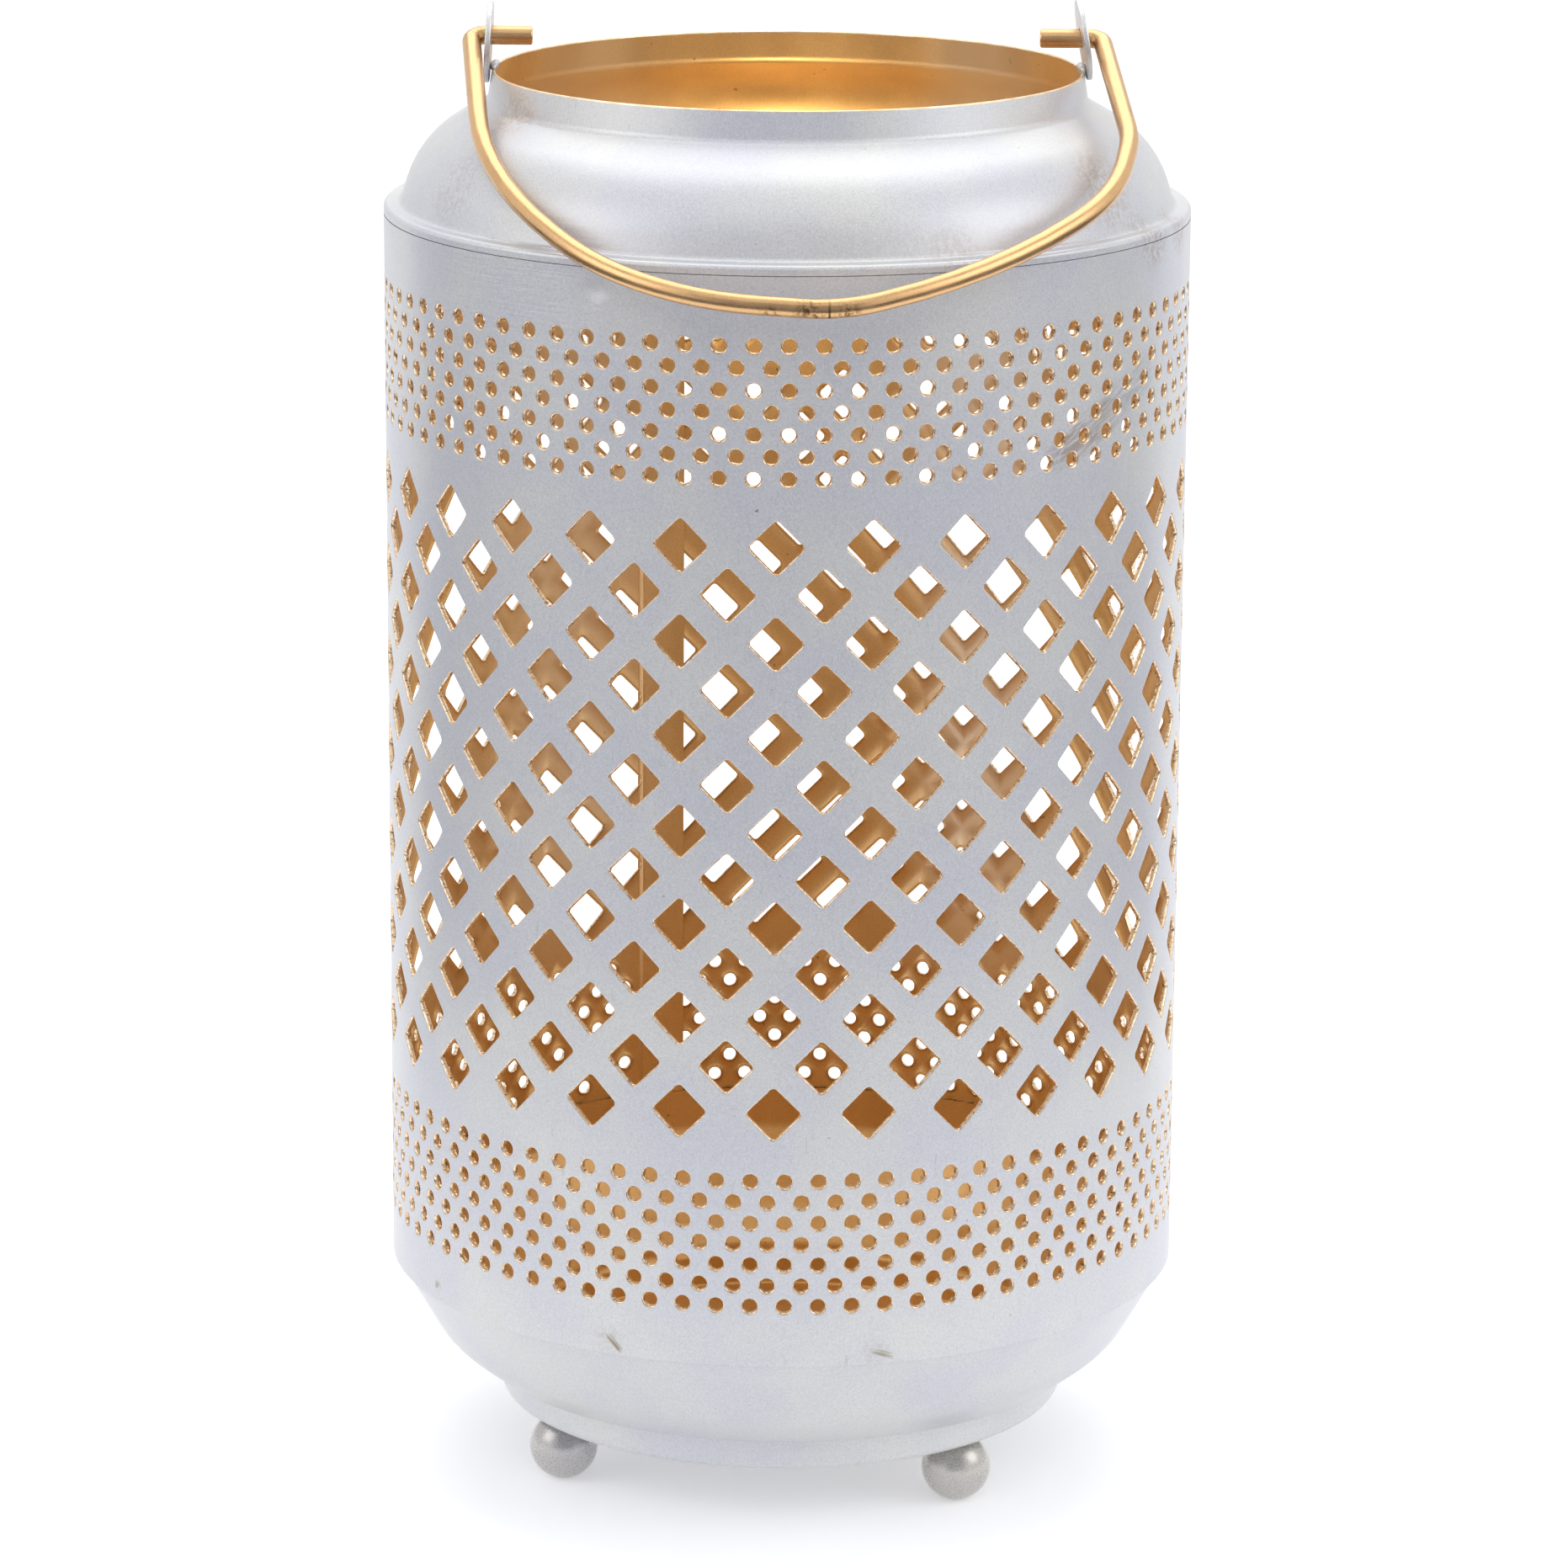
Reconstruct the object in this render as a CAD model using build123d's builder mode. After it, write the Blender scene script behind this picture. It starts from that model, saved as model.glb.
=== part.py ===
"""A pierced sheet-metal candle lantern with a wire bail, on three ball feet.

The lantern stands on z = 0 with its vertical axis on the Z axis. The front is -Y,
where the bail lies down over the shoulder. All sizes are in millimetres.
"""
from build123d import *
from math import atan2, cos, degrees, radians, sin, sqrt, tan
import os

# --- driving dimensions -------------------------------------------------------

sheet = 0.6               # thickness of the rolled and pressed sheet metal
slip = 0.05               # radial play between a tucked-in flange and the wall

wall_radius = 75.0        # outside of the pierced wall
wall_height = 201.0       # height of the pierced wall's sheet
seam_angle = 202.0        # where the wall's sheet closes, in degrees from the front
seam_lap = 8.0            # width of the overlap that closes the wall, on its inside
seam_bite = 0.3           # how far the welded overlap is pressed into the wall
seam_line = 0.4           # width of the outside joint line
seam_line_depth = 0.15

dot_radius = 1.5          # round punch
dot_pitch = 6.23          # along the wall
dot_row_step = 3.96
dot_rows = 7
dot_shift = 0.5           # start of the dot columns, measured along the wall
upper_dots_from_top = 12.4
lower_dots_from_bottom = 11.5

diamond_side = 7.5        # square punch, used on its corner
diamond_corner = 0.9
diamond_pitch = 17.35     # along the wall
diamond_row_step = 8.71
diamond_shift = -1.55
diamonds_from_top = 48.5
band_gap = 4.0            # least plain metal between the diamonds and the lower dots
punch_land = 0.35         # least metal between a hole and the seam
punch_reach = 4 * sheet   # length of a punch, centred in the sheet

foot_radius = 6.5
foot_flat = 0.1           # flat that the ball stands on
foot_seat = 0.4           # flat ground on the ball's top, where it meets the base
foot_inset = 6.5          # from the base ring's outside to the middle of each foot
foot_angles = (-60.2, 44.4, 172.0)
foot_solder_radius = 3.6
foot_solder_height = 0.7

ring_inset = 20.8         # raised ring at the very bottom of the base, in from the wall
ring_height = 7.1
ring_edge = 1.3
ring_crease = 0.8
bowl_heel = 3.8           # how far the bowl's heel stands out past the ring
bowl_heel_sink = 0.3      # how much lower the heel is at its outside
bowl_heel_round = 3.5
bowl_height = 20.6        # from the ring to the wall's lower edge
bowl_waist_inset = 9.0    # corner of the bowl's side, in from the wall
bowl_waist_drop = 14.7
bowl_waist_round = 14.0
bowl_lip_round = 4.0
flange_height = 8.2       # part of the base tucked up inside the wall

skirt_height = 8.0        # part of the collar tucked down inside the wall
lip_height = 1.9
lip_round = 0.9
cove_inset = 3.1          # foot of the collar's dome, in from the wall
cove_rise = 0.1
cove_round = 1.2
dome_inset = 6.5
dome_rise = 13.2
dome_round = 20.0
neck_inset = 20.2         # outside of the neck's rim, in from the wall
neck_flare = 0.9          # how much wider the neck's foot is
neck_foot_rise = 20.6
neck_foot_round = 1.8
neck_height = 5.7

ear_radius = 7.5
ear_thickness = 1.0
ear_edge = 0.25
ear_hole_play = 0.4       # around the wire
ear_root_gap = 0.1        # between the ear's lowest point and the neck
ear_leans = {"left": 3.5, "right": 9.0}
ear_yaws = {"left": 0.0, "right": 3.0}
ear_drops = {"left": 1.2, "right": 0.2}
pivot_above_rim = 5.9
solder_radius = 1.1
solder_length = 5.6
solder_rise = 0.25

wire_radius = 1.75
bail_rest_gap = 0.32      # between the resting bail and the corner of the collar's dome
stub_length = 8.0         # wire end that points inwards past the ear
stub_chamfer = 0.25
leg_gap = 1.1             # between the ear and the bail's leg, at the pivot
leg_bend = 2.4
bow_front_gap = 10.0      # between the wall and the resting bow
# Corners of the hand-bent bow, from the left leg to the right one: what the corner is
# measured from, how far it lies to the right of that, how far it lies back from the bow's
# lowest point, and the radius of its bend.
bow_corners = (
    ("left leg", 4.46, 41.1, 83.0),
    ("middle", -26.3, 2.2, 50.0),
    ("middle", 9.5, -1.9, 24.0),
    ("middle", 36.0, 10.4, 95.0),
    ("right leg", 0.5, 36.9, 41.0),
    ("right leg", 3.9, 57.1, 28.0),
)

# --- levels and radii that follow ---------------------------------------------

neck_radius = wall_radius - neck_inset
ring_radius = wall_radius - ring_inset
foot_circle = ring_radius - foot_inset
base_underside = 2 * foot_radius - foot_flat - foot_seat
base_floor = base_underside + sheet
ring_top = base_underside + ring_height
wall_bottom = ring_top + bowl_height
wall_top = wall_bottom + wall_height
rim_top = wall_top + neck_foot_rise + neck_height
neck_slope = neck_flare / neck_height
pivot_height = rim_top + pivot_above_rim
wall_inside = wall_radius - sheet
flange_radius = wall_inside - slip
ear_hole_radius = wire_radius + ear_hole_play

upper_dots_start = wall_top - upper_dots_from_top
lower_dots_start = wall_bottom + lower_dots_from_bottom + (dot_rows - 1) * dot_row_step
diamonds_start = wall_top - diamonds_from_top
diamond_reach = diamond_side / sqrt(2)
diamonds_end = lower_dots_start + dot_radius + band_gap + diamond_reach
diamond_rows = int((diamonds_start - diamonds_end) / diamond_row_step) + 1

os.makedirs("parts", exist_ok=True)


def finish(builder, name, **options):
    """Label a finished sub-part, write it out and report its volume."""
    builder.part.label = name
    export_step(builder.part, f"parts/{name}.step", **options)
    print(f"{name}: {builder.part.volume:.0f} mm3")


# --- pierced wall ---------------------------------------------------------------


def wall_plane(angle, height, radius):
    """A plane that faces outwards at an angle from the front, with its x along the wall."""
    across, forward = sin(radians(angle)), -cos(radians(angle))
    return Plane(
        origin=(radius * across, radius * forward, height),
        x_dir=(-forward, across, 0),
        z_dir=(across, forward, 0),
    )


def punch_planes(first_row, row_step, rows, pitch, shift, half_width):
    """Planes for staggered rows of holes that stop short of the wall's seam."""
    step = degrees(pitch / wall_radius)
    land = degrees((half_width + punch_land) / wall_radius)
    last_angle = seam_angle - land
    first_angle = seam_angle - 360 + land
    planes = []
    for row in range(rows):
        start = degrees(shift / wall_radius) + step * 0.5 * (row % 2)
        column = -int((start - first_angle) / step)
        while start + column * step <= last_angle:
            height = first_row - row * row_step
            planes.append(wall_plane(start + column * step, height, wall_radius - sheet / 2))
            column += 1
    return planes


dot_pattern = (dot_row_step, dot_rows, dot_pitch, dot_shift, dot_radius)
diamond_pattern = (diamond_row_step, diamond_rows, diamond_pitch, diamond_shift, diamond_reach)
upper_dots = punch_planes(upper_dots_start, *dot_pattern)
lower_dots = punch_planes(lower_dots_start, *dot_pattern)
diamonds = punch_planes(diamonds_start, *diamond_pattern)
print(f"{len(upper_dots) + len(lower_dots)} dots, {len(diamonds)} diamonds")

with BuildPart() as dot_punch:
    Cylinder(dot_radius, punch_reach)

with BuildPart() as diamond_punch:
    with BuildSketch():
        RectangleRounded(diamond_side, diamond_side, diamond_corner, rotation=45)
    extrude(amount=punch_reach / 2, both=True)

# All the punches go through the wall in one cut, which is much quicker than many cuts.
punches = [plane.location * dot_punch.part for plane in upper_dots + lower_dots]
punches += [plane.location * diamond_punch.part for plane in diamonds]

with BuildPart() as body_wall:
    with BuildSketch(Plane.XY.offset(wall_bottom)):
        Circle(wall_radius)
        Circle(wall_inside, mode=Mode.SUBTRACT)
    extrude(amount=wall_height)
    seam_bed = wall_radius - seam_line_depth
    with BuildSketch(wall_plane(seam_angle, wall_bottom + wall_height / 2, seam_bed)):
        Rectangle(seam_line, wall_height)
    extrude(amount=sheet, mode=Mode.SUBTRACT)
    add(punches, mode=Mode.SUBTRACT, clean=False)
    # The overlap lies inside, between the two tucked-in flanges. It isn't punched, so it
    # closes the holes that it lies behind, some of them only in part.
    lap_bottom = wall_bottom + flange_height + slip
    lap_top = wall_top - skirt_height - slip
    lap_angle = seam_angle - degrees(seam_lap / 2 / wall_radius)
    with BuildSketch(wall_plane(lap_angle, (lap_bottom + lap_top) / 2, wall_inside - sheet)):
        Rectangle(seam_lap, lap_top - lap_bottom)
    extrude(amount=sheet + seam_bite, clean=False)

finish(body_wall, "body_wall", write_pcurves=False)

# --- shoulder collar ------------------------------------------------------------

with BuildPart() as shoulder_collar:
    with BuildSketch(Plane.XZ):
        with BuildLine():
            Polyline(
                (flange_radius, wall_top - skirt_height),
                (flange_radius, wall_top),
                (wall_radius, wall_top),
            )
            FilletPolyline(
                (wall_radius, wall_top),
                (wall_radius, wall_top + lip_height),
                (wall_radius - cove_inset, wall_top + lip_height + cove_rise),
                (wall_radius - dome_inset, wall_top + dome_rise),
                (neck_radius + neck_flare, wall_top + neck_foot_rise),
                (neck_radius, rim_top),
                radius=(lip_round, cove_round, dome_round, neck_foot_round),
            )
            offset(amount=sheet, side=Side.LEFT)
        make_face()
    revolve(axis=Axis.Z)

finish(shoulder_collar, "shoulder_collar")

# --- base bowl --------------------------------------------------------------------

with BuildPart() as base_bowl:
    with BuildSketch(Plane.XZ):
        with BuildLine():
            FilletPolyline(
                (flange_radius, wall_bottom + flange_height),
                (flange_radius, wall_bottom),
                (wall_radius - bowl_waist_inset, wall_bottom - bowl_waist_drop),
                (ring_radius + bowl_heel, ring_top - bowl_heel_sink),
                (ring_radius, ring_top),
                (ring_radius, base_underside),
                (0, base_underside),
                radius=(bowl_lip_round, bowl_waist_round, bowl_heel_round, ring_crease, ring_edge),
            )
            offset(amount=sheet, side=Side.RIGHT)
        make_face()
    revolve(axis=Axis.Z)

finish(base_bowl, "base_bowl")

# --- ball feet ------------------------------------------------------------------

for number, angle in enumerate(foot_angles, start=1):
    foot_x = foot_circle * sin(radians(angle))
    foot_y = -foot_circle * cos(radians(angle))
    ball_height = foot_radius - foot_flat

    with BuildPart() as foot:
        with Locations((foot_x, foot_y, ball_height)):
            Sphere(foot_radius)
        split(bisect_by=Plane.XY, keep=Keep.TOP)
        split(bisect_by=Plane.XY.offset(base_underside), keep=Keep.BOTTOM)
    finish(foot, f"foot_{number}")

    with BuildPart() as foot_solder:
        with Locations((foot_x, foot_y, base_underside - foot_solder_height)):
            Cylinder(foot_solder_radius, foot_solder_height, align=(Align.CENTER, Align.CENTER, Align.MIN))
        with Locations((foot_x, foot_y, ball_height)):
            Sphere(foot_radius, mode=Mode.SUBTRACT)
    finish(foot_solder, f"foot_solder_{number}")

# --- ears ---------------------------------------------------------------------------

ear_x = {}
for side, outward in (("left", -1), ("right", 1)):
    lean, yaw = radians(ear_leans[side]), radians(ear_yaws[side])
    # The ear comes nearest to the neck either at the rim or at the ear's lowest point.
    tip_below_pivot = ear_drops[side] + ear_radius
    neck_at_tip = neck_radius + neck_slope * (tip_below_pivot - pivot_above_rim)
    ear_x[side] = ear_root_gap + ear_thickness / 2 / cos(lean) + max(
        neck_radius / cos(yaw) - pivot_above_rim * tan(lean),
        neck_at_tip / cos(yaw) - tip_below_pivot * tan(lean),
    )
    normal = Vector(outward * cos(lean) * cos(yaw), cos(lean) * sin(yaw), sin(lean))
    pivot_plane = Plane(origin=(outward * ear_x[side], 0, pivot_height), x_dir=(0, 1, 0), z_dir=normal)
    disc_plane = pivot_plane.offset(-ear_thickness / 2)

    with BuildPart() as ear:
        with BuildSketch(disc_plane):
            with Locations((0, -outward * ear_drops[side])):
                Circle(ear_radius)
            Circle(ear_hole_radius, mode=Mode.SUBTRACT)
        extrude(amount=ear_thickness)
        fillet(ear.edges().filter_by(GeomType.CIRCLE).group_by(SortBy.RADIUS)[-1], ear_edge)
    finish(ear, f"ear_{side}")

    with BuildPart() as ear_solder:
        bead_x = outward * (neck_radius - sheet / 2)
        bead_reach = solder_length / 2 - solder_radius
        with BuildSketch(Plane(origin=(bead_x, 0, rim_top + solder_rise), z_dir=(0, 1, 0))):
            Circle(solder_radius)
        extrude(amount=bead_reach, both=True)
        with Locations(*[(bead_x, y, rim_top + solder_rise) for y in (-bead_reach, bead_reach)]):
            Sphere(solder_radius)
        split(bisect_by=disc_plane, keep=Keep.BOTTOM)
        add(shoulder_collar.part, mode=Mode.SUBTRACT)
    finish(ear_solder, f"ear_solder_{side}")

# --- bail ------------------------------------------------------------------------------

leg_offset = ear_thickness / 2 + leg_gap + wire_radius
leg_x = {
    "left leg": -ear_x["left"] - leg_offset,
    "middle": 0.0,
    "right leg": ear_x["right"] + leg_offset,
}
# The resting bail's left leg lies nearest to the collar where it crosses the dome's corner.
leg_foot_x = leg_x["left leg"] + bow_corners[0][1]
crossing = sqrt((wall_radius - dome_inset) ** 2 - leg_foot_x**2)
rest = atan2(pivot_height - wall_top - dome_rise - wire_radius - bail_rest_gap, crossing)
bail_plane = Plane(origin=(0, 0, pivot_height), x_dir=(1, 0, 0), z_dir=(0, sin(rest), -cos(rest)))
bow_reach = (wall_radius + wire_radius + bow_front_gap) / cos(rest)
bow_points = [(leg_x[start] + right, bow_reach - back) for start, right, back, _ in bow_corners]
bail_route = [
    (-ear_x["left"] + stub_length, 0),
    (leg_x["left leg"], 0),
    *bow_points,
    (leg_x["right leg"], 0),
    (ear_x["right"] - stub_length, 0),
]
bail_bends = [leg_bend, *[bend for _, _, _, bend in bow_corners], leg_bend]

with BuildPart() as bail_handle:
    with BuildLine(bail_plane) as bail_line:
        FilletPolyline(*bail_route, radius=bail_bends)
    with BuildSketch(Plane(origin=bail_line.line @ 0, z_dir=bail_line.line % 0)):
        Circle(wire_radius)
    sweep()
    chamfer(bail_handle.faces().filter_by(GeomType.PLANE).edges(), stub_chamfer)
finish(bail_handle, "bail_handle")
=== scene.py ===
# %% [markdown]
# # A pierced candle lantern
#
# A round tin lantern: a pierced wall between a domed collar and a spun base, three ball
# feet, two ears and a bent wire bail. The rigid model comes in first and nothing here
# moves or resizes it. Each step below adds one thing that makes it look like painted,
# punched and bent metal, and prints what it made.

# %% Load the frame
import bpy
import math
import random
import numpy as np
from mathutils import Matrix, Vector


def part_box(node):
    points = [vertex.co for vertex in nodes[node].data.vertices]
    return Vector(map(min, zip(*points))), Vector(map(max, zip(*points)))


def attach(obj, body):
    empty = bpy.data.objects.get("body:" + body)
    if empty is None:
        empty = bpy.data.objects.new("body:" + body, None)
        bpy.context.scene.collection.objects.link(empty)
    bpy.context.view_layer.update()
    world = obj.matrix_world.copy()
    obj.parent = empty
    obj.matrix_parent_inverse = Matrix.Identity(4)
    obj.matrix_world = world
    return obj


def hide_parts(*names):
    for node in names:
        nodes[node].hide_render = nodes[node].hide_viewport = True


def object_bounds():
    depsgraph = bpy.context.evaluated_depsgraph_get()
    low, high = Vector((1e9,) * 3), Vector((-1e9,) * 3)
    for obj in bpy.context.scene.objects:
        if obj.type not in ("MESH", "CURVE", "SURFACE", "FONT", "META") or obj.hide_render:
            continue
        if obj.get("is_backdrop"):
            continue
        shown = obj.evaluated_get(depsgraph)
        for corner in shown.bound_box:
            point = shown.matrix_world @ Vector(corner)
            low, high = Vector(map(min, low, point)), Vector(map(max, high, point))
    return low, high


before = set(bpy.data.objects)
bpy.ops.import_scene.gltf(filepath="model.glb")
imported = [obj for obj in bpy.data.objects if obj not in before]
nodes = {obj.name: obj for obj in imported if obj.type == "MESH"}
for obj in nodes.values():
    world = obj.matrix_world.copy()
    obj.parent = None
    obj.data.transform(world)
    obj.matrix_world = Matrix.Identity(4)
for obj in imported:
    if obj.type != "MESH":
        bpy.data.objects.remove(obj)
cad_low, cad_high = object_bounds()
MM = 0.001
print("CAD box in mm:", [round(v / MM, 1) for v in (*cad_low, *cad_high)])

# %% [markdown]
# ## The camera
#
# A long lens from a little more than a metre away keeps the lantern's sides almost
# parallel, and the camera looks down a little, so that the mouth opens to the view. The
# camera is made first, because every later choice is judged through it. A hair of roll
# makes the lantern lean as it does when it is stood by hand on a table.

# %% Camera
camera = bpy.data.objects.new("camera", bpy.data.cameras.new("camera"))
bpy.context.scene.collection.objects.link(camera)
camera.data.sensor_width = 36.0
camera.data.lens = 146.73
looking_down = math.radians(14.137)
roll = math.radians(0.336)
turn = Matrix.Rotation(math.pi / 2 - looking_down, 4, "X") @ Matrix.Rotation(roll, 4, "Z")
camera.matrix_world = Matrix.Translation((0.0, -1179.37 * MM, 428.02 * MM)) @ turn
bpy.context.scene.camera = camera
print("camera lens", camera.data.lens, "mm")

# %% [markdown]
# ## Shader maths in plain Python
#
# Blender's materials are graphs of nodes. Writing `mask * 0.5 + 1` is easier to read than
# six lines that make and link two Math nodes, so one small class wraps a socket and turns
# Python's operators into Math nodes. Everything else comes from one method, `node`, which
# takes a node's type, then its settings, then what goes into its sockets.

# %% A socket that understands arithmetic
class Value:
    """One output socket, usable in arithmetic."""

    def __init__(self, finish, socket):
        self.finish = finish
        self.socket = socket

    def maths(self, operation, *inputs, clamp=False):
        settings = {"operation": operation, "use_clamp": clamp}
        return self.finish.node("ShaderNodeMath", settings, dict(enumerate(inputs)))

    def __add__(self, other):
        return self.maths("ADD", self, other)

    def __radd__(self, other):
        return self.maths("ADD", other, self)

    def __sub__(self, other):
        return self.maths("SUBTRACT", self, other)

    def __rsub__(self, other):
        return self.maths("SUBTRACT", other, self)

    def __mul__(self, other):
        return self.maths("MULTIPLY", self, other)

    def __rmul__(self, other):
        return self.maths("MULTIPLY", other, self)

    def __truediv__(self, other):
        return self.maths("DIVIDE", self, other)

    def __rtruediv__(self, other):
        return self.maths("DIVIDE", other, self)

    def __pow__(self, other):
        return self.maths("POWER", self, other)

    def __abs__(self):
        return self.maths("ABSOLUTE", self)

    def at_least(self, other):
        return self.maths("MAXIMUM", self, other)

    def within(self):
        """The value held between 0 and 1."""
        return self.maths("ADD", self, 0.0, clamp=True)


# %% A material made by expressions
class Finish:
    """A material whose nodes are made by plain calls."""

    def __init__(self, name, owner=None):
        self.owner = owner or bpy.data.materials.new(name)
        self.owner.use_nodes = True
        self.tree = self.owner.node_tree
        self.tree.nodes.clear()

    def node(self, kind, settings=None, sockets=None, out=0):
        """Makes a node, sets it, fills its sockets and returns one of its outputs."""
        made = self.tree.nodes.new(kind)
        for key, setting in (settings or {}).items():
            setattr(made, key, setting)
        for key, given in (sockets or {}).items():
            socket = made.inputs[key]
            if isinstance(given, Value):
                self.tree.links.new(given.socket, socket)
            elif isinstance(given, tuple) and socket.type == "RGBA":
                socket.default_value = (*given[:3], 1.0)
            else:
                socket.default_value = given
        return Value(self, made.outputs[out])

    def vectors(self, operation, *inputs, out=0, **named):
        """A Vector Math node, whose out 0 is a vector and whose out 1 is a number."""
        sockets = {**dict(enumerate(inputs)), **named}
        return self.node("ShaderNodeVectorMath", {"operation": operation}, sockets, out)

    def place(self):
        """Where a point lies on the piece, in millimetres."""
        at = self.node("ShaderNodeTexCoord", out="Object")
        return self.vectors("MULTIPLY", at, (1 / MM, 1 / MM, 1 / MM))

    def parts(self, vector):
        """The x, y and z of a vector."""
        split = self.node("ShaderNodeSeparateXYZ", None, {0: vector})
        outs = split.socket.node.outputs
        return [Value(self, out) for out in outs]

    def noise(self, size, detail=2.0, rough=0.5, stretch=(1.0, 1.0, 1.0), twist=0.0):
        """Noise whose blobs are about `size` millimetres across."""
        scale = tuple(s / size for s in stretch)
        at = self.vectors("MULTIPLY", self.place(), scale)
        sockets = {"Vector": at, "Scale": 1.0, "Detail": detail, "Roughness": rough, "Distortion": twist}
        return self.node("ShaderNodeTexNoise", None, sockets)

    def ramp(self, value, low, high, to_low=0.0, to_high=1.0):
        """A value moved smoothly from one range to another."""
        settings = {"interpolation_type": "SMOOTHSTEP"}
        sockets = {0: value, 1: low, 2: high, 3: to_low, 4: to_high}
        return self.node("ShaderNodeMapRange", settings, sockets)

    def mix(self, factor, first, second, blend="MIX"):
        """Two colours mixed by a factor. A Mix node's colour sockets are numbers 6, 7 and out 2."""
        settings = {"data_type": "RGBA", "blend_type": blend}
        return self.node("ShaderNodeMix", settings, {0: factor, 6: first, 7: second}, out=2)

    def shaded(self, colour, shade):
        """A colour multiplied by a level of about 1."""
        level = self.node("ShaderNodeCombineColor", None, {0: shade, 1: shade, 2: shade})
        return self.mix(1.0, colour, level, "MULTIPLY")

    def near(self, x, y, z, radius, soft=0.5):
        """1 near a point given in millimetres, 0 away from it."""
        gap = self.vectors("DISTANCE", self.place(), (x, y, z), out=1)
        return self.ramp(gap, radius * (1 - soft), radius * (1 + soft), 1.0, 0.0)

    def streak(self, spot, direction, half_length, half_width):
        """1 in the middle of a stroke through a spot, 0 outside it, broken into lines along it."""
        away = self.vectors("SUBTRACT", self.place(), spot)
        run = self.vectors("DOT_PRODUCT", away, direction, out=1)
        reach = self.vectors("LENGTH", away, out=1)
        aside = (reach * reach - run * run).at_least(0.0) ** 0.5
        # Most of the run is taken away, which draws the noise out along the stroke.
        most = self.vectors("SCALE", direction, Scale=run * 0.93)
        at = self.vectors("SUBTRACT", away, most)
        sockets = {"Vector": at, "Scale": 1.6, "Detail": 3.0, "Roughness": 0.65}
        lines = self.ramp(self.node("ShaderNodeTexNoise", None, sockets), 0.38, 0.62)
        ends = self.ramp(abs(run), half_length * 0.45, half_length, 1.0, 0.0)
        return ends * self.ramp(aside, half_width * 0.4, half_width, 1.0, 0.0) * lines

    def surface(self, sockets, bumps=()):
        """Ends the material in a Principled shader, with bumps of a height and a depth in mm."""
        normal = None
        for height, depth in bumps:
            given = {"Height": height, "Distance": depth * MM, "Strength": 1.0}
            if normal is not None:
                given["Normal"] = normal
            normal = self.node("ShaderNodeBump", None, given)
        if normal is not None:
            sockets = {**sockets, "Normal": normal}
        shader = self.node("ShaderNodeBsdfPrincipled", None, sockets)
        self.node_out("ShaderNodeOutputMaterial", shader)
        return self.owner

    def node_out(self, kind, shader):
        """Sends a finished shader to the material's or the world's output."""
        out = self.tree.nodes.new(kind)
        self.tree.links.new(shader.socket, out.inputs["Surface"])


print("helpers ready")

# %% [markdown]
# ## A plain white studio
#
# The lantern stands on a white table in a white tent. A tent is bright on all sides but
# one: on the camera's side it is open, and painted metal shows that as its grey middle
# tone. Here the world is the tent, a white square is the table, and a dark card on the
# camera's side, which only reflections see, is the tent's opening. The table and the world
# are plain white to the camera and in reflections, but for a painted shadow on the table
# close round the lantern, and the lamps stay at a level at which a colour looks as it is
# written.

# %% World
def rgb(red, green, blue):
    """A colour from 0-255 values, as the linear light that Blender's nodes want."""
    shares = (red / 255, green / 255, blue / 255)
    return tuple(s / 12.92 if s <= 0.04045 else ((s + 0.055) / 1.055) ** 2.4 for s in shares)


def seen_or_reflected(finish):
    """1 for rays from the camera, from a reflection or through glass."""
    path = finish.node("ShaderNodeLightPath")
    outs = path.socket.node.outputs
    kinds = ("Is Camera Ray", "Is Glossy Ray", "Is Transmission Ray")
    seen, gloss, through = (Value(finish, outs[kind]) for kind in kinds)
    return seen.at_least(gloss).at_least(through)


WHITE = (1.0, 1.0, 1.0)
TENT_LIGHT = (0.62, 0.63, 0.66)

world = bpy.data.worlds.new("tent")
bpy.context.scene.world = world
tent = Finish("tent", world)
level = tent.mix(seen_or_reflected(tent), TENT_LIGHT, WHITE)
background = tent.node("ShaderNodeBackground", None, {"Color": level, "Strength": 1.0})
tent.node_out("ShaderNodeOutputWorld", background)
bpy.context.scene.view_settings.view_transform = "Standard"

# %% Table
def square(name, size, place, look_from=None):
    """A flat square, facing up or towards a point."""
    half = size / 2
    mesh = bpy.data.meshes.new(name)
    corners = [(-half, -half, 0), (half, -half, 0), (half, half, 0), (-half, half, 0)]
    mesh.from_pydata(corners, [], [(0, 1, 2, 3)])
    made = bpy.data.objects.new(name, mesh)
    made.location = place
    if look_from is not None:
        made.rotation_euler = (Vector(look_from) - Vector(place)).to_track_quat("Z", "Y").to_euler()
    bpy.context.scene.collection.objects.link(made)
    made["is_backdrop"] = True
    return made


TABLE_SIZE = 8.0
PAPER = (0.86, 0.86, 0.87)
GLOW = 0.58
PAINTED_SHADOW_GLOW = (0.6, 0.6, 0.61)
PAINTED_SHADOW_REACH = 210.0

table = square("table", TABLE_SIZE, (0, 0, 0))
paper = Finish("white_table")
diffuse = paper.node("ShaderNodeBsdfDiffuse", None, {"Color": PAPER})
camera_ray = paper.node("ShaderNodeLightPath", out="Is Camera Ray")
# The table glows a little, which keeps it white. Close round the lantern the camera sees less of that
# glow, so that the shadow there stays soft grey: a painted shadow, a greyer disc of table round the
# lantern's foot.
painted_shadow = paper.near(0, 0, 0, PAINTED_SHADOW_REACH, soft=0.6) * camera_ray
glow_with_painted_shadow = paper.mix(painted_shadow, WHITE, PAINTED_SHADOW_GLOW)
glow_level = seen_or_reflected(paper) * GLOW
glow = paper.node("ShaderNodeEmission", None, {"Color": glow_with_painted_shadow, "Strength": glow_level})
both = paper.node("ShaderNodeAddShader", None, {0: diffuse, 1: glow})
paper.node_out("ShaderNodeOutputMaterial", both)
table.data.materials.append(paper.owner)

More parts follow.
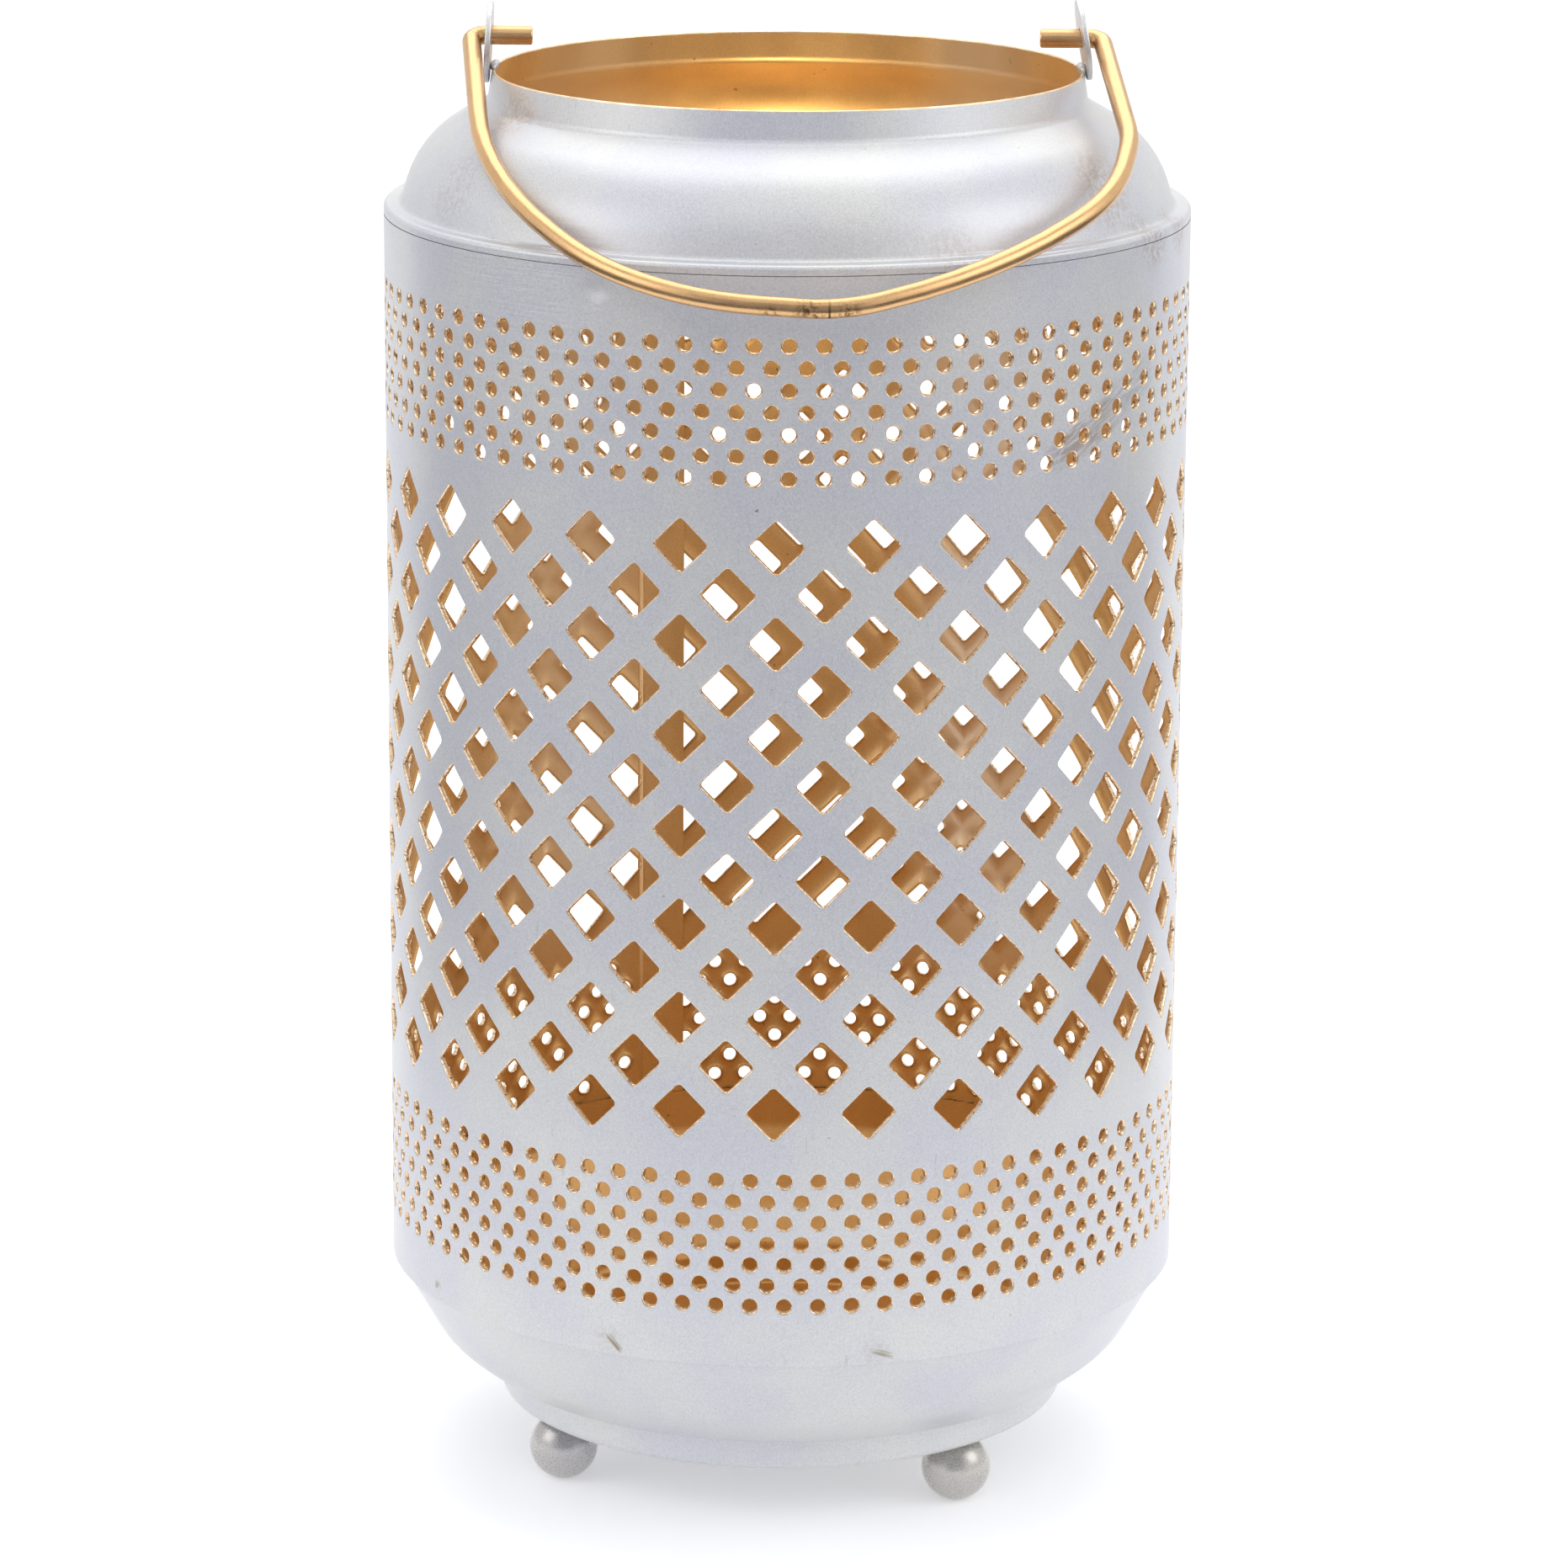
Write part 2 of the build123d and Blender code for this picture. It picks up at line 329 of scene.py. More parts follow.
# %% Tent opening
def dark(name, level):
    """A dark grey cloth, a little blue."""
    cloth = Finish(name)
    shader = cloth.node("ShaderNodeBsdfDiffuse", None, {"Color": (level, level, level * 1.12)})
    cloth.node_out("ShaderNodeOutputMaterial", shader)
    return cloth.owner


def only_reflected(made):
    """Hides an object from everything but reflections."""
    made.visible_camera = False
    made.visible_diffuse = False
    made.visible_shadow = False


opening = square("tent_opening", 1.1, (0.0, -0.9, 0.42), look_from=(0, 0, 0.2))
only_reflected(opening)
opening.data.materials.append(dark("dark_cloth", 0.4))

# %% [markdown]
# The white sheet under the lantern is only so large: further off lies the bare grey floor.
# A wall that stands upright shows the table in front of it, four times as far away as the
# spot is high. So the top of the wall shows the grey floor and its foot shows the white
# sheet, and the wall gets lighter from top to bottom. The arc below is that floor. It stops
# short of the back, because there it would darken the lantern's outline on both sides.

# %% Floor round the table
FLOOR_ENDS = (0.34, 3.0)
FLOOR_HEIGHT = 0.004
FLOOR_PARTS = 50

ring_mesh = bpy.data.meshes.new("grey_floor")
turns = [math.radians(-125 + 5 * k) for k in range(FLOOR_PARTS + 1)]
spots = [(far * math.sin(a), -far * math.cos(a), FLOOR_HEIGHT) for a in turns for far in FLOOR_ENDS]
tiles = [(2 * k, 2 * k + 2, 2 * k + 3, 2 * k + 1) for k in range(FLOOR_PARTS)]
ring_mesh.from_pydata(spots, [], tiles)
grey_floor = bpy.data.objects.new("grey_floor", ring_mesh)
bpy.context.scene.collection.objects.link(grey_floor)
grey_floor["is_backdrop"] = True
only_reflected(grey_floor)
ring_mesh.materials.append(dark("grey_cloth", 0.24))
print("stage: table, opening and grey floor")

# %% Lamps
def lamp(name, place, target, size, watts, colour=WHITE, height=None):
    """A soft box that points at a target: square, unless its height is given."""
    light = bpy.data.lights.new(name, "AREA")
    light.shape = "RECTANGLE"
    light.size = size
    light.size_y = size if height is None else height
    light.energy = watts
    light.color = colour
    made = bpy.data.objects.new(name, light)
    made.location = place
    made.rotation_euler = (Vector(place) - Vector(target)).to_track_quat("Z", "Y").to_euler()
    bpy.context.scene.collection.objects.link(made)
    return made


MIDDLE = (0, 0, 0.16)
lamp("soft_box_top", (0.0, 0.45, 1.15), MIDDLE, 1.1, 6.1)
lamp("soft_box_front", (0.0, -1.2, 1.0), MIDDLE, 0.6, 2.2)
lamp("soft_box_left", (-1.1, -0.5, 0.8), MIDDLE, 0.8, 2.8)
lamp("soft_box_right", (1.1, -0.4, 0.8), MIDDLE, 0.8, 3.5)
# A small warm lamp inside stands in for that light, pointing up at the back of the dome.
WARM = (1.0, 0.86, 0.55)
DOME_BACK = (0, 0.064, 0.256)
inner = lamp("gold_light", (0.0, 0.0, 0.16), DOME_BACK, 0.03, 0.006, WARM)
inner.data.spread = math.radians(64)
# What comes in through the punches at the sides leaves an upright band of light on each side
# of the back. Two tall cool lamps inside, one by each side of the wall, stand in for it.
COOL = (0.66, 0.76, 1.0)
TALL = 0.12
BACK_RIGHT = (0.0384, 0.0637, 0.12)
BACK_LEFT = (-0.044, 0.06, 0.12)
from_left = lamp("left_punches", (-0.07, 0.004, 0.12), BACK_RIGHT, 0.01, 0.013, COOL, TALL)
from_right = lamp("right_punches", (0.066, 0.023, 0.12), BACK_LEFT, 0.02, 0.006, COOL, TALL)
for inside in (inner, from_left, from_right):
    inside.visible_camera = False
print("studio ready")

# %% [markdown]
# ## The paint outside
#
# The outside is sprayed with a pearl white paint: nearly white and a little blue, with a
# fine metallic grain. Up close each grain is a flake of mica, so the colour and the
# roughness both change from grain to grain. Broad, faint clouds keep a large wall from
# looking like one even fill, and a light orange-peel bump breaks up highlights.

# %% Pearl paint
def pearl(name, base=(205, 206, 212), marks=(), strokes=()):
    """The white pearl paint, with its grain, its clouds and its rubbed places."""
    f = Finish(name)
    grain = f.noise(0.26, detail=1.0)
    fleck = f.noise(0.55, detail=2.0, rough=0.6)
    cloud = f.noise(26.0, detail=3.0)
    shade = f.ramp(grain, 0.3, 0.7, -0.075, 0.075) + f.ramp(fleck, 0.3, 0.7, -0.035, 0.035)
    shade = shade + f.ramp(cloud, 0.3, 0.7, -0.025, 0.025) + 1.0
    warmer = rgb(base[0] + 4, base[1] + 3, base[2] - 4)
    colour = f.shaded(f.mix(f.ramp(cloud, 0.35, 0.65), rgb(*base), warmer), shade)
    # Dust and handling leave a few faint brown smudges.
    dirt = f.ramp(f.noise(9.0, detail=4.0, rough=0.65), 0.66, 0.78)
    dirt = dirt * f.ramp(f.noise(45.0, detail=1.0), 0.52, 0.66)
    speck = f.ramp(f.noise(1.3, detail=1.0), 0.79, 0.83)
    colour = f.mix(dirt * 0.16, colour, rgb(170, 150, 128))
    colour = f.mix(speck * 0.35, colour, rgb(128, 112, 100))
    ragged = f.ramp(f.noise(1.0, detail=3.0, rough=0.7), 0.42, 0.6)
    for spot, radius, tint, strength in marks:
        colour = f.mix(f.near(*spot, radius) * ragged * strength, colour, rgb(*tint))
    for spot, direction, half_length, half_width, tint, strength in strokes:
        drawn = f.streak(spot, direction, half_length, half_width)
        colour = f.mix(drawn * strength, colour, rgb(*tint))
    rough = f.ramp(grain, 0.2, 0.8, 0.34, 0.5) + dirt * 0.1
    peel = f.noise(1.1, detail=2.0)
    return f, colour, rough, [(peel, 0.012), (grain, 0.006)]


BROWN = (150, 122, 98)
TAN = (146, 132, 104)
INK = (40, 36, 34)
GREY = (122, 118, 116)
# Each mark is a place in mm, a radius, a colour and how strongly it shows.
marks = [
    ((-64.5, -38.3, 43.0), 1.0, TAN, 0.7), ((-31.8, -67.9, 42.8), 2.6, TAN, 0.18),
    ((17.2, -73.0, 42.6), 2.4, TAN, 0.16), ((-5.1, -74.8, 199.6), 0.35, INK, 0.9),
    ((57.0, -38.0, 251.0), 7.0, BROWN, 0.3), ((-49.0, -26.0, 261.5), 6.0, BROWN, 0.28),
    ((-60.0, -34.0, 250.0), 7.0, BROWN, 0.2), ((66.0, -34.5, 241.6), 5.0, BROWN, 0.4),
    ((71.0, -22.0, 241.6), 4.0, BROWN, 0.35), ((30.0, -66.5, 244.0), 5.0, BROWN, 0.22),
]
# Each stroke is a place in mm, a direction of length 1, half its length, half its width, a
# colour and how strongly it shows. The scuff runs up to the right over the upper dots.
SCUFF = (0.563, 0.711, 0.419)
strokes = [
    ((53.6, -52.4, 209.2), SCUFF, 12.0, 4.4, BROWN, 0.6),
    ((61.2, -43.2, 214.8), SCUFF, 13.0, 4.6, GREY, 0.32),
    ((-30.5, -68.5, 42.5), (0.62, -0.31, -0.72), 2.6, 0.75, TAN, 0.95),
    ((18.7, -72.6, 42.1), (0.91, 0.25, -0.33), 2.6, 0.75, TAN, 0.8),
]
f, colour, rough, bumps = pearl("pearl_paint", marks=marks, strokes=strokes)
# A brush left faint level lines at the upper left, a knock left one soft dent, and a few
# fine upright scratches came with use.
brushed = f.noise(0.7, detail=2.0, stretch=(0.06, 0.06, 1.0)) * f.near(-48.0, -57.0, 236.0, 20.0)
dent = f.near(-33.4, -67.2, 237.6, 1.6, soft=0.9)
scratch = f.ramp(f.noise(0.6, detail=1.0, stretch=(1.0, 1.0, 0.08), twist=0.3), 0.74, 0.78)
scratch = scratch * f.ramp(f.noise(30.0, detail=1.0), 0.5, 0.6)
bumps += [(brushed, 0.05), (dent, -0.25), (scratch, -0.04)]
colour = f.mix(scratch * 0.2, colour, rgb(150, 150, 156))
outside_paint = f.surface({"Base Color": colour, "Metallic": 0.45, "Roughness": rough}, bumps)
print("pearl paint:", len(f.tree.nodes), "nodes")

# %% [markdown]
# ## The lacquer inside
#
# The inside is lacquered gold over the bare sheet. It is the same shape as the outside seen
# from the other side, so its depth comes from reflection: light enters through the punches
# and the mouth and bounces gold on gold. The lacquer is thin, so it gets small dark specks
# and soft cloudy bands where it ran.

# %% Gold lacquer
f = Finish("gold_lacquer")
grain = f.noise(0.3, detail=1.0)
cloud = f.noise(12.0, detail=3.0, stretch=(1.0, 1.0, 0.35))
speck = f.ramp(f.noise(1.6, detail=1.0), 0.76, 0.8)
shade = f.ramp(grain, 0.3, 0.7, 0.94, 1.06) * f.ramp(cloud, 0.3, 0.7, 0.93, 1.05)
colour = f.shaded(rgb(228, 188, 124), shade)
colour = f.mix(speck * 0.5, colour, rgb(92, 58, 26))
# Painted light: two upright bands on the back are painted paler, where light that comes in through the
# punches at the sides falls.
across, behind, height = f.parts(f.place())
right_painted_light_band = across - 39.0
left_painted_light_band = across + 43.0
mist_and_painted_light = f.ramp(abs(right_painted_light_band), 3.0, 17.0, 1.0, 0.0)
mist_and_painted_light = mist_and_painted_light.at_least(f.ramp(abs(left_painted_light_band), 4.0, 22.0, 0.6, 0.0))
mist_and_painted_light = mist_and_painted_light * f.ramp(behind, 20.0, 40.0) * f.ramp(height, 60.0, 110.0)
colour = f.mix(mist_and_painted_light * 0.7, colour, rgb(234, 213, 178))
inside_lacquer = f.surface(
    {"Base Color": colour, "Metallic": 0.72, "Roughness": f.ramp(cloud, 0.3, 0.7, 0.33, 0.45)},
    [(f.noise(1.4, detail=2.0), 0.015), (grain, 0.008)],
)
print("gold lacquer:", len(f.tree.nodes), "nodes")

# %% [markdown]
# ## Punched lips
#
# A punch drags the sheet inwards, so each hole has a small rounded lip. White paint is
# thin there and gold mist from the inside settles on it: pale gold, shinier than the wall,
# with a little wear. It gets its own finish, put on the lip's faces alone. Just outside the
# lip runs a thin broken line, where the paint cracked as the sheet bent.

# %% Lip finish
f = Finish("punched_lip")
mist_and_painted_light = f.noise(0.8, detail=2.0)
bare = f.ramp(f.noise(0.7, detail=2.0, rough=0.65), 0.56, 0.64)
colour = f.mix(f.ramp(mist_and_painted_light, 0.35, 0.65), rgb(234, 216, 190), rgb(218, 184, 140))
colour = f.mix(bare * 0.75, colour, rgb(120, 84, 52))
punched_lip = f.surface(
    {"Base Color": colour, "Metallic": 0.75, "Roughness": f.ramp(mist_and_painted_light, 0.3, 0.7, 0.18, 0.32)},
    [(f.noise(0.5, detail=2.0), 0.03)],
)
f = Finish("lip_line")
broken = f.ramp(f.noise(0.9, detail=2.0), 0.4, 0.6)
colour = f.mix(broken, rgb(178, 150, 124), rgb(212, 202, 196))
lip_line = f.surface({"Base Color": colour, "Metallic": 0.4, "Roughness": 0.45})
print("lip finish:", len(f.tree.nodes), "nodes")

# %% [markdown]
# ## Making a mesh
#
# The sheet-metal pieces are made point by point, so that every point can carry its exact
# normal. That matters on a thin painted sheet: normals averaged over long faces would put
# dents round each hole that the real wall doesn't have. One helper turns points, faces and
# normals into an object, and rides it on its body.

# %% Mesh helper
def piece(name, points, faces, finishes, which=None, normals=None, body="lantern"):
    """A mesh object from points in millimetres, riding on a body."""
    mesh = bpy.data.meshes.new(name)
    mesh.from_pydata((np.asarray(points, float) * MM).tolist(), [], faces)
    for finish in finishes:
        mesh.materials.append(finish)
    if which is not None:
        mesh.polygons.foreach_set("material_index", np.asarray(which, np.int32))
    mesh.shade_smooth()
    mesh.update()
    if normals is not None:
        mesh.normals_split_custom_set_from_vertices(np.asarray(normals, float).tolist())
    made = bpy.data.objects.new(name, mesh)
    bpy.context.scene.collection.objects.link(made)
    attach(made, body)
    print(name, "has", len(mesh.polygons), "faces")
    return made


# %% [markdown]
# ## The pierced wall
#
# The holes lie in staggered rows, and staggered rows share out a sheet in diamonds with one
# hole in the middle of each. So the wall is built as a flat sheet of such diamond-shaped
# cells, each a ring of points on the cell's border joined to rings round its hole, and the
# sheet is then rolled round the axis. The punch's lip is nine of those rings: they round the
# edge over, go down the hole a little past the sheet and turn back to its inside. Three
# bands keep each mesh to a size that is quick to work with.

# %% Wall sizes
wall_low, wall_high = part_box("body_wall")
WALL_BOTTOM = wall_low.z / MM
WALL_TOP = wall_high.z / MM
WALL_RADIUS = 75.0
SHEET = 0.6
ROUND = WALL_RADIUS * math.tau
# The seam's place along the wall from the front, half its groove, its lap behind the wall,
# and the least metal between it and a hole.
SEAM = math.radians(202.0) * WALL_RADIUS
SEAM_GAP = 0.2
LAP = 8.0
LAND = 0.35
# Pitch is along a row, step is from row to row, shift is where the columns start, and half
# is half a hole's width. All are in mm.
DOT = {"pitch": 6.23, "step": 3.96, "rows": 7, "shift": 0.5, "half": 1.5}
DIAMOND = {"pitch": 17.35, "step": 8.71, "rows": 13, "shift": -1.55, "half": 7.5 / math.sqrt(2)}
DIAMOND_CORNER = 0.9
print("wall from", round(WALL_BOTTOM, 2), "to", round(WALL_TOP, 2))

# %% Outlines of one hole
def unit(angle):
    """The direction at an angle, as (along, up)."""
    return np.array([math.cos(angle), math.sin(angle)])


def dot_outline(count):
    """Points round a round hole and their outward directions, from the right over the top."""
    turns = np.arange(count) * math.tau / count
    out = np.c_[np.cos(turns), np.sin(turns)]
    return DOT["half"] * out, out


def diamond_outline():
    """The same for a square hole on its corner, with rounded corners."""
    points, outs = [], []
    for quarter in range(4):
        base = quarter * math.pi / 2
        centre_reach = DIAMOND["half"] - DIAMOND_CORNER * math.sqrt(2)
        here = unit(base) * centre_reach
        there = unit(base + math.pi / 2) * centre_reach
        side = unit(base + math.pi / 4)
        for turn in (0.0, 0.5):
            out = unit(base + turn * math.pi / 4)
            points.append(here + DIAMOND_CORNER * out)
            outs.append(out)
        for share in (0.0, 0.5, 1.0):
            points.append(here + (there - here) * share + DIAMOND_CORNER * side)
            outs.append(side)
        out = unit(base + 0.75 * math.pi / 2)
        points.append(there + DIAMOND_CORNER * out)
        outs.append(out)
    return np.array(points), np.array(outs)


def cell_outline(pitch, step, count):
    """Points along the border of a diamond-shaped cell, from its right corner."""
    corners = np.array([(pitch / 2, 0), (0, step), (-pitch / 2, 0), (0, -step)], float)
    per_side = count // 4
    points = []
    for side in range(4):
        start, end = corners[side], corners[(side + 1) % 4]
        points += [start + (end - start) * k / per_side for k in range(per_side)]
    return np.array(points)


# %% Rings of a punched lip: how far out from the hole, how deep, how far the normal turns
DOT["lip"] = (
    (0.3, 0.0, 0.0),
    (0.1, 0.02, 12.0),
    (0.03, 0.06, 26.0),
    (-0.09, 0.18, 48.0),
    (-0.2, 0.42, 72.0),
    (-0.24, 1.1, 92.0),
    (-0.14, 1.22, 180.0),
    (0.12, 0.95, 240.0),
    (0.42, 0.62, 200.0),
)
DIAMOND["lip"] = (
    (0.24, 0.0, 0.0),
    (0.07, 0.02, 14.0),
    (0.01, 0.06, 28.0),
    (-0.08, 0.16, 50.0),
    (-0.16, 0.36, 74.0),
    (-0.19, 0.86, 92.0),
    (-0.1, 0.98, 180.0),
    (0.14, 0.8, 240.0),
    (0.42, 0.62, 200.0),
)
# The finish of the faces between a cell's border, its rings and its border inside.
PAINT, LACQUER, LIP, LIP_LINE = range(4)
LIP_FINISHES = (PAINT, PAINT, LIP_LINE, LIP, LIP, LIP, LIP, LACQUER, LACQUER, LACQUER)

# %% The flat sheet
class Sheet:
    """Points (along the wall, height, depth) with normals, and faces with finishes."""

    def __init__(self):
        self.points, self.normals, self.faces, self.which = [], [], [], []
        self.known = {}

    def point(self, along, height, depth, tilt=0.0, out=(0.0, 0.0), shared=False):
        key = (round(along, 3), round(height, 3), round(depth, 3))
        if shared and key in self.known:
            return self.known[key]
        self.points.append((along, height, depth))
        turn = math.radians(tilt)
        self.normals.append((math.cos(turn), -math.sin(turn) * out[0], -math.sin(turn) * out[1]))
        if shared:
            self.known[key] = len(self.points) - 1
        return len(self.points) - 1

    def face(self, corners, finish):
        self.faces.append(corners)
        self.which.append(finish)

    def both_sides(self, corners, parts=1):
        """Faces outside and inside from four corners, cut in parts along the first side."""
        start, end, far_end, far_start = (np.array(c) for c in corners)
        for part in range(parts):
            low, high = part / parts, (part + 1) / parts
            near = start + (end - start) * low
            far = start + (end - start) * high
            above = far_start + (far_end - far_start) * low
            beyond = far_start + (far_end - far_start) * high
            cut = (near, far, beyond, above)
            area = sum(p[0] * q[1] - q[0] * p[1] for p, q in zip(cut, cut[1:] + cut[:1]))
            if abs(area) < 1e-6:
                continue
            cut = cut if area > 0 else cut[::-1]
            self.face([self.point(*c, 0.0, shared=True) for c in cut], PAINT)
            self.face([self.point(*c, SHEET, 180.0, shared=True) for c in cut[::-1]], LACQUER)

    def rolled(self):
        """The points and normals in space, with the sheet rolled round the axis."""
        along, height, depth = np.array(self.points).T
        turn = along / WALL_RADIUS
        across, forward = np.sin(turn), -np.cos(turn)
        radius = WALL_RADIUS - depth
        spots = np.c_[radius * across, radius * forward, height]
        face_out, sideways, upwards = np.array(self.normals).T
        x_way = face_out * across - sideways * forward
        y_way = face_out * forward + sideways * across
        return spots, np.c_[x_way, y_way, upwards]


# %% One hole in its cell
def punch(sheet, middle, outline, outs, border, lip, wobble, ends, deepest):
    """Joins a cell's border to its hole's lip, outside and inside.

    Wobble makes the lip's depth uneven. Nothing goes past the ends of the sheet or deeper
    than deepest.
    """
    count = len(outline)
    rim = [sheet.point(*(middle + p), 0.0, shared=True) for p in border]
    back = [sheet.point(*(middle + p), SHEET, 180.0, shared=True) for p in border]
    rings = [rim]
    for out_by, depth, tilt in lip:
        ring = []
        for k in range(count):
            along, height = middle + outline[k] + outs[k] * out_by
            along = min(max(along, ends[0]), ends[1])
            deep = min(depth * wobble[k] if depth > SHEET + 0.1 else depth, deepest)
            ring.append(sheet.point(along, height, deep, tilt, outs[k]))
        rings.append(ring)
    rings.append(back)
    for outer, inner, finish in zip(rings, rings[1:], LIP_FINISHES):
        for k in range(count):
            after = (k + 1) % count
            sheet.face((outer[k], outer[after], inner[after], inner[k]), finish)


# %% Where the holes are
def hole_rows(kind, first_row):
    """For each row from the top, its height and where along the wall its holes lie."""
    rows = []
    for row in range(kind["rows"]):
        start = kind["shift"] + kind["pitch"] * 0.5 * (row % 2)
        land = kind["half"] + LAND
        first = SEAM - ROUND + land
        column = -int((start - first) / kind["pitch"])
        spots = []
        while start + column * kind["pitch"] <= SEAM - land:
            spots.append(start + column * kind["pitch"])
            column += 1
        rows.append((first_row - row * kind["step"], spots))
    return rows


# %% A band of the wall
def band(name, kind, first_row, bottom, top, outline, outs, seed):
    """A piece of wall with staggered rows of holes."""
    rng = random.Random(seed)
    sheet = Sheet()
    rows = hole_rows(kind, first_row)
    count = len(outline)
    border = cell_outline(kind["pitch"], kind["step"], count)
    left = SEAM - ROUND + SEAM_GAP
    right = SEAM - SEAM_GAP
    # A cell's edge that only one cell has lies on the pattern's outside.
    edges = {}
    for row, (height, spots) in enumerate(rows):
        for along in spots:
            middle = np.array([along, height])
            low_corner = (left + 0.1, bottom + 0.2)
            own = np.clip(border + middle, low_corner, (right - 0.1, top - 0.2)) - middle
            # Over the lap a lip has no room to go past the sheet.
            deepest = SHEET if along > SEAM - LAP - kind["half"] - 0.6 else math.inf
            wobble = [rng.uniform(0.86, 1.08) for _ in outline]
            punch(sheet, middle, outline, outs, own, kind["lip"], wobble, (left, right), deepest)
            ring = [tuple(np.round(middle + p, 6)) for p in own]
            for start, end in zip(ring, ring[1:] + ring[:1]):
                key = frozenset((tuple(np.round(start, 3)), tuple(np.round(end, 3))))
                edges[key] = None if key in edges else (start, end, row, along)
    centre = (left + right) / 2
    first = 0
    last = len(rows) - 1
    for edge in filter(None, edges.values()):
        (a0, h0), (a1, h1), row, along = edge
        upper = (h0 + h1) / 2 > rows[row][0]
        if row == first and upper:
            sheet.both_sides([(a0, h0), (a0, top), (a1, top), (a1, h1)])
        elif row == last and not upper:
            sheet.both_sides([(a0, h0), (a0, bottom), (a1, bottom), (a1, h1)])
        else:
            far = left if along < centre else right
            sheet.both_sides([(a0, h0), (far, h0), (far, h1), (a1, h1)], 6)
    for row, level in ((first, top), (last, bottom)):
        height, spots = rows[row]
        y0, y1 = sorted((height, level))
        half_pitch = kind["pitch"] / 2
        for far, near in ((left, spots[0] - half_pitch), (right, spots[-1] + half_pitch)):
            x0, x1 = sorted((far, near))
            if x1 - x0 > 0.2:
                sheet.both_sides([(x0, y0), (x1, y0), (x1, y1), (x0, y1)], 6)
    points, normals = sheet.rolled()
    finishes = [outside_paint, inside_lacquer, punched_lip, lip_line]
    made = piece(name, points, sheet.faces, finishes, sheet.which, normals)
    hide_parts("body_wall")


# %% The three bands
# Each pattern is placed by the height of its uppermost row.
LOWER_DOTS = WALL_BOTTOM + 11.5 + (DOT["rows"] - 1) * DOT["step"]
UPPER_DOTS = WALL_TOP - 12.4
DIAMONDS = WALL_TOP - 48.5
# The bands meet in plain sheet, a little past the dots.
LOWER_JOIN = LOWER_DOTS + DOT["step"] + 0.4
UPPER_JOIN = UPPER_DOTS - DOT["rows"] * DOT["step"] - 0.4
dots, dots_out = dot_outline(16)
diamonds, diamonds_out = diamond_outline()
band("wall_lower_band", DOT, LOWER_DOTS, WALL_BOTTOM, LOWER_JOIN, dots, dots_out, 1)
band("wall_middle_band", DIAMOND, DIAMONDS, LOWER_JOIN, UPPER_JOIN, diamonds, diamonds_out, 2)
band("wall_upper_band", DOT, UPPER_DOTS, UPPER_JOIN, WALL_TOP, dots, dots_out, 3)

# %% [markdown]
# ## The seam of the wall
#
# The wall is a flat sheet rolled round and closed at the back, where one end steps inwards
# and laps behind the other. Outside, that leaves one fine groove from top to bottom. Inside,
# the lap can be seen through the mouth and the diamonds. It isn't punched, so it closes the
# holes that it lies behind, and through those its painted outside shows.

# %% Seam strip
SLIP = 0.05
FLANGE_HEIGHT = 8.2
SKIRT_HEIGHT = 8.0


def seam_strip():
    """The sheet's inner end: a tongue in the joint, and a lap that steps inwards behind it."""
    low = WALL_BOTTOM + FLANGE_HEIGHT + SLIP
    high = WALL_TOP - SKIRT_HEIGHT - SLIP
    # Both outlines are of points (along the wall from the seam, depth).
    lap = [(-LAP, SHEET - 0.02), (-LAP, 1.1), (-LAP + 0.1, 2 * SHEET)]
    lap += [(-LAP + LAP * k / 6, 2 * SHEET) for k in range(1, 6)]
    lap += [(0.3, 2 * SHEET), (0.75, 1.12), (1.3, 0.7), (1.7, SHEET - 0.02)]
    tongue = [(SEAM_GAP, SHEET), (SEAM_GAP, 0.15), (-SEAM_GAP, 0.15), (-SEAM_GAP, SHEET)]
    points, faces, which = [], [], []
    rows = 8
    strips = ((lap, low, high, LACQUER), (tongue, WALL_BOTTOM, WALL_TOP, PAINT))
    for line, bottom, top, finish in strips:
        start = len(points)
        levels = [bottom + (top - bottom) * k / rows for k in range(rows + 1)]
        for height in levels:
            for along, depth in line:
                turn = (SEAM + along) / WALL_RADIUS
                radius = WALL_RADIUS - depth
                points.append((radius * math.sin(turn), -radius * math.cos(turn), height))
        count = len(line)
        for row in range(rows):
            for k in range(count):
                after = (k + 1) % count
                here = start + row * count
                faces.append((here + k, here + count + k, here + count + after, here + after))
                # The face that closes the outline looks outwards.
                which.append(finish if after else PAINT)
        top_row = start + rows * count
        faces.append(tuple(range(start, start + count)))
        faces.append(tuple(range(top_row + count - 1, top_row - 1, -1)))
        which += [finish, finish]
    made = piece("wall_seam", points, faces, [outside_paint, inside_lacquer], which)
    made.data.shade_flat()
    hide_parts("body_wall")


seam_strip()

# %% [markdown]
# ## Spun sheets: the collar and the base
#
# Both are spun on a lathe from one disc, so each is a profile turned round the axis. The
# profile is written as a few corners with a bend radius each, like a bent wire; the inside
# is the same line one sheet's thickness away. The free edge is rounded over, and its bare
# metal shows as a thin pale line.

